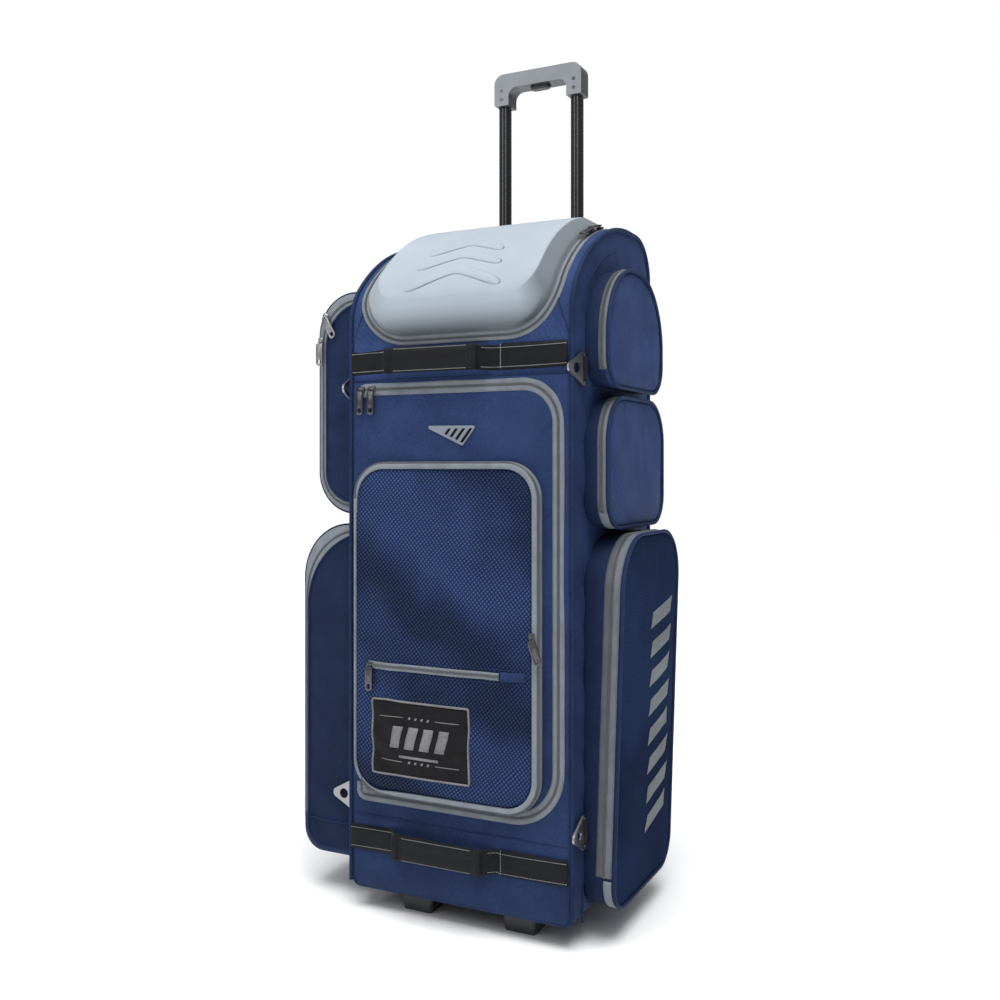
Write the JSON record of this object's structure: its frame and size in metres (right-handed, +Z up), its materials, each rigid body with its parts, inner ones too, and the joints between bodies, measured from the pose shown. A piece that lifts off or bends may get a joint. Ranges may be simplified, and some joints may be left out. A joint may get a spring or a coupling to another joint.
{
  "type": "wheeled equipment bag",
  "caption": "Tall upright wheeled sports equipment bag with a trolley handle, moulded lid, zipped front door, front pouch and side pockets.",
  "frame": {"origin": "on the floor under the middle of the bag's bounding box, pockets included", "axes": "+X to the viewer's right when facing the front door, +Y from the front door to the wheels and trolley handle at the back, +Z up"},
  "size_m": [0.507, 0.35, 1.258],
  "materials": {
    "navy_nylon": "satin",
    "navy_weave": "satin",
    "lining": "matte",
    "eva_gray": "matte",
    "black_webbing": "matte",
    "black_plastic": "satin",
    "grip_gray": "satin",
    "vent_gray": "satin",
    "gloss_black_tube": "gloss",
    "steel": "satin",
    "gunmetal": "satin",
    "nickel": "polished",
    "tyre_rubber": "matte",
    "patch_black": "matte"
  },
  "bodies": {
    "bag": {"left_side_panel": "navy_nylon", "right_side_panel": "navy_nylon", "back_panel": "navy_nylon", "bottom_panel": "navy_nylon", "front_panel": "navy_nylon", "top_panel": "navy_nylon", "back_lining": "lining", "base_tray": "black_plastic", "base_screws": "steel", "wheel_housings": "black_plastic", "wheel_axles": "steel", "handle_bracket": "black_plastic", "handle_sleeves": "gloss_black_tube", "handle_bezel": "black_plastic", "top_grab_strap": "black_webbing", "bottom_grab_strap": "black_webbing", "strap_grips": "black_webbing", "ring_tabs": "black_webbing", "left_upper_gusset": "navy_nylon", "left_lower_gusset": "navy_nylon", "right_top_gusset": "navy_nylon", "right_middle_gusset": "navy_nylon", "right_lower_gusset": "navy_nylon"},
    "handle": {"handle_rods": "gloss_black_tube", "grip_front_shell": "grip_gray", "grip_rear_shell": "grip_gray", "grip_screws": "steel"},
    "release_button": {"release_button": "black_plastic"},
    "left_wheel": {"left_wheel_hub": "black_plastic", "left_wheel_tyre": "tyre_rubber"},
    "right_wheel": {"right_wheel_hub": "black_plastic", "right_wheel_tyre": "tyre_rubber"},
    "lid": {"lid_shell": "eva_gray"},
    "door": {"door_panel": "navy_nylon", "door_vent": "vent_gray"},
    "pouch": {"pouch_panel": "navy_weave", "pouch_patch": "patch_black"},
    "left_upper_flap": {"left_upper_flap": "navy_nylon"},
    "left_lower_flap": {"left_lower_flap": "navy_nylon"},
    "right_top_flap": {"right_top_flap": "navy_nylon"},
    "right_middle_flap": {"right_middle_flap": "navy_nylon"},
    "right_lower_flap": {"right_lower_flap": "navy_weave"},
    "ring_upper_right": {"ring_upper_right": "nickel"},
    "ring_lower_right": {"ring_lower_right": "nickel"},
    "ring_upper_left": {"ring_upper_left": "nickel"},
    "ring_lower_left": {"ring_lower_left": "nickel"},
    "door_slider_left": {"door_slider_left": "gunmetal"},
    "door_slider_right": {"door_slider_right": "gunmetal"},
    "pouch_slider": {"pouch_slider": "gunmetal"},
    "pouch_top_slider": {"pouch_top_slider": "gunmetal"},
    "left_upper_slider_low": {"left_upper_slider_low": "gunmetal"},
    "left_lower_slider": {"left_lower_slider": "gunmetal"},
    "right_top_slider": {"right_top_slider": "gunmetal"},
    "right_middle_slider": {"right_middle_slider": "gunmetal"},
    "right_lower_slider": {"right_lower_slider": "gunmetal"},
    "left_upper_slider_high": {"left_upper_slider_high": "gunmetal"},
    "lid_slider_front": {"lid_slider_front": "gunmetal"},
    "lid_slider_rear": {"lid_slider_rear": "gunmetal"}
  },
  "joints": [
    {"name": "handle_slide", "type": "slide", "parent": "bag", "child": "handle", "axis": [0, 0, 1], "range_m": [-0.23, 0]},
    {"name": "release_button_press", "type": "slide", "parent": "handle", "child": "release_button", "axis": [0, 0, 1], "range_m": [0, 0.004], "stiffness_N_per_m": 400, "springref_m": -0.004},
    {"name": "left_wheel_spin", "type": "hinge", "parent": "bag", "child": "left_wheel", "pos_m": [-0.1175, 0.1365, 0.038], "axis": [1, 0, 0], "continuous": true},
    {"name": "right_wheel_spin", "type": "hinge", "parent": "bag", "child": "right_wheel", "pos_m": [0.1645, 0.1365, 0.038], "axis": [1, 0, 0], "continuous": true},
    {"name": "lid_hinge", "type": "hinge", "parent": "bag", "child": "lid", "pos_m": [0.0235, 0.075, 0.9758], "axis": [-1, 0, 0], "range_deg": [0, 90]},
    {"name": "door_hinge", "type": "hinge", "parent": "bag", "child": "door", "pos_m": [-0.1365, -0.1505, 0.45], "axis": [0, 0, -1], "range_deg": [0, 75]},
    {"name": "pouch_hinge", "type": "hinge", "parent": "door", "child": "pouch", "pos_m": [-0.1315, -0.1509, 0.4], "axis": [0, 0, -1], "range_deg": [0, 35]},
    {"name": "left_upper_flap_hinge", "type": "hinge", "parent": "bag", "child": "left_upper_flap", "pos_m": [-0.1469, 0.1045, 0.72], "axis": [0, 0, -1], "range_deg": [0, 90]},
    {"name": "left_lower_flap_hinge", "type": "hinge", "parent": "bag", "child": "left_lower_flap", "pos_m": [-0.2535, -0.0105, 0.108], "axis": [0, -1, 0], "range_deg": [0, 90]},
    {"name": "right_top_flap_hinge", "type": "hinge", "parent": "bag", "child": "right_top_flap", "pos_m": [0.2315, -0.0105, 0.753], "axis": [0, 1, 0], "range_deg": [0, 90]},
    {"name": "right_middle_flap_hinge", "type": "hinge", "parent": "bag", "child": "right_middle_flap", "pos_m": [0.2315, -0.0105, 0.566], "axis": [0, 1, 0], "range_deg": [0, 90]},
    {"name": "right_lower_flap_hinge", "type": "hinge", "parent": "bag", "child": "right_lower_flap", "pos_m": [0.239, -0.0105, 0.092], "axis": [0, 1, 0], "range_deg": [0, 90]},
    {"name": "ring_upper_right_swing", "type": "hinge", "parent": "bag", "child": "ring_upper_right", "pos_m": [0.2015, -0.1285, 0.756], "axis": [0, 0, 1], "range_deg": [0, 80]},
    {"name": "ring_lower_right_swing", "type": "hinge", "parent": "bag", "child": "ring_lower_right", "pos_m": [0.2015, -0.1285, 0.154], "axis": [0, 0, 1], "range_deg": [0, 80]},
    {"name": "ring_upper_left_swing", "type": "hinge", "parent": "bag", "child": "ring_upper_left", "pos_m": [-0.1545, -0.1285, 0.74], "axis": [0, 0, -1], "range_deg": [0, 80]},
    {"name": "ring_lower_left_swing", "type": "hinge", "parent": "bag", "child": "ring_lower_left", "pos_m": [-0.1545, -0.1285, 0.154], "axis": [0, 0, -1], "range_deg": [-85, 0]},
    {"name": "door_slider_left_run", "type": "slide", "parent": "door", "child": "door_slider_left", "axis": [1, 0, 0], "range_m": [0, 0.005]},
    {"name": "door_slider_right_run", "type": "slide", "parent": "door", "child": "door_slider_right", "axis": [1, 0, 0], "range_m": [0, 0.2]},
    {"name": "pouch_slider_run", "type": "slide", "parent": "pouch", "child": "pouch_slider", "axis": [0, 0, 1], "range_m": [-0.17, 0.165]},
    {"name": "pouch_top_slider_run", "type": "slide", "parent": "pouch", "child": "pouch_top_slider", "axis": [1, 0, 0], "range_m": [0, 0.2]},
    {"name": "left_upper_slider_low_run", "type": "slide", "parent": "left_upper_flap", "child": "left_upper_slider_low", "axis": [0, 0, 1], "range_m": [-0.18, 0]},
    {"name": "left_lower_slider_run", "type": "slide", "parent": "left_lower_flap", "child": "left_lower_slider", "axis": [0, 0, 1], "range_m": [-0.17, 0.15]},
    {"name": "right_top_slider_run", "type": "slide", "parent": "right_top_flap", "child": "right_top_slider", "axis": [0, 0, 1], "range_m": [-0.008, 0.01]},
    {"name": "right_middle_slider_run", "type": "slide", "parent": "right_middle_flap", "child": "right_middle_slider", "axis": [0, 0, 1], "range_m": [-0.045, 0.02]},
    {"name": "right_lower_slider_run", "type": "slide", "parent": "right_lower_flap", "child": "right_lower_slider", "axis": [0, 0, 1], "range_m": [-0.15, 0.16]},
    {"name": "left_upper_slider_high_run", "type": "hinge", "parent": "left_upper_flap", "child": "left_upper_slider_high", "pos_m": [-0.1665, -0.1205, 0.823], "axis": [0, 1, 0], "range_deg": [0, 45]},
    {"name": "lid_slider_front_run", "type": "hinge", "parent": "lid", "child": "lid_slider_front", "pos_m": [0.1745, 0.06656, 0.7091], "axis": [1, 0, 0], "range_deg": [0, 19]},
    {"name": "lid_slider_rear_run", "type": "hinge", "parent": "lid", "child": "lid_slider_rear", "pos_m": [0.1745, 0.06656, 0.7091], "axis": [-1, 0, 0], "range_deg": [0, 8]}
  ]
}
